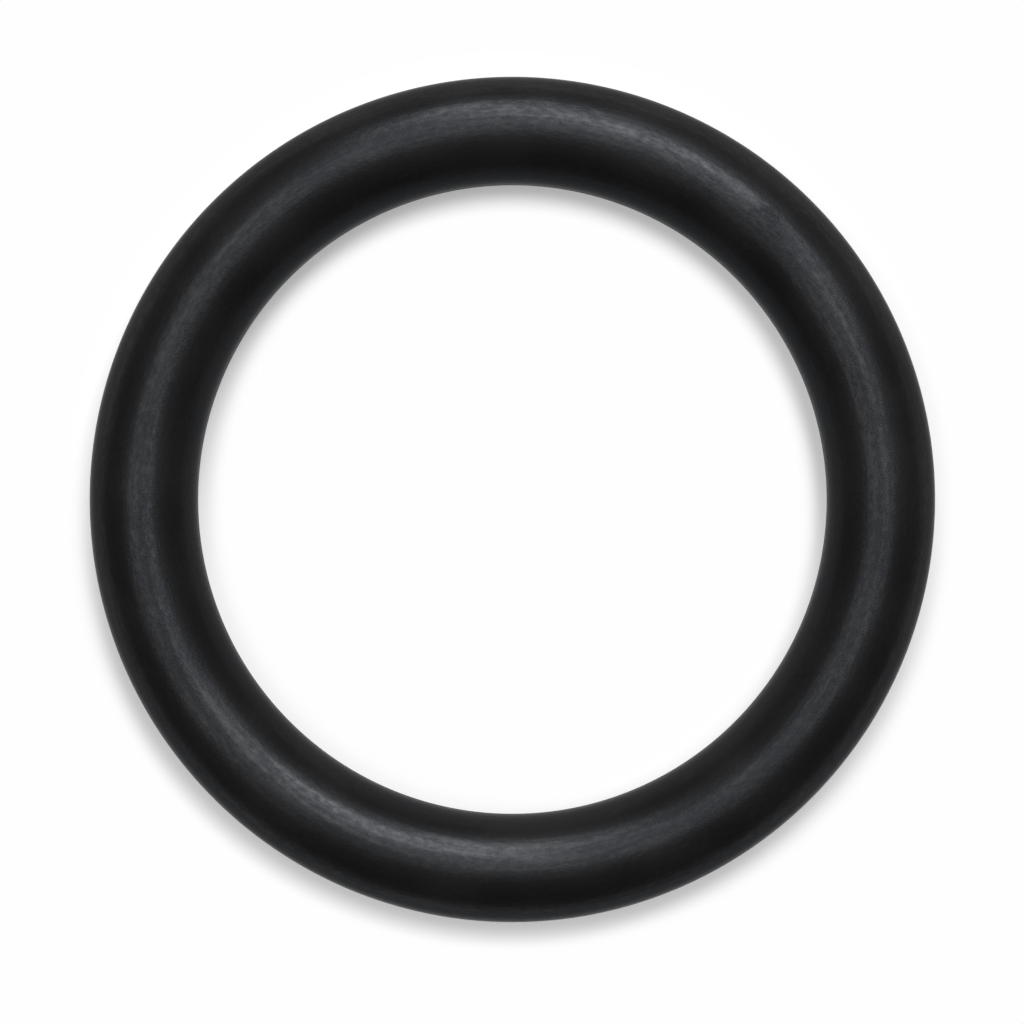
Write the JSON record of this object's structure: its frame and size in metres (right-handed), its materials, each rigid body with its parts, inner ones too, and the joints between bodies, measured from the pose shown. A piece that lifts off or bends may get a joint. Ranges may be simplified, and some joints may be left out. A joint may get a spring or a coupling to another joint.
{
  "type": "rubber o-ring",
  "caption": "Round-section rubber sealing ring, moulded in one piece, with trimmed lands at the bore and the rim.",
  "frame": {"origin": "centre of the ring, half way up its section", "axes": "+Z along the ring's axis, upwards as it lies flat; +X and +Y in the plane of the ring, which is round"},
  "size_m": [0.0418, 0.0418, 0.0054],
  "materials": {
    "black_rubber": "satin, very finely grained"
  },
  "bodies": {
    "root": {"ring": "black_rubber"}
  },
  "joints": []
}
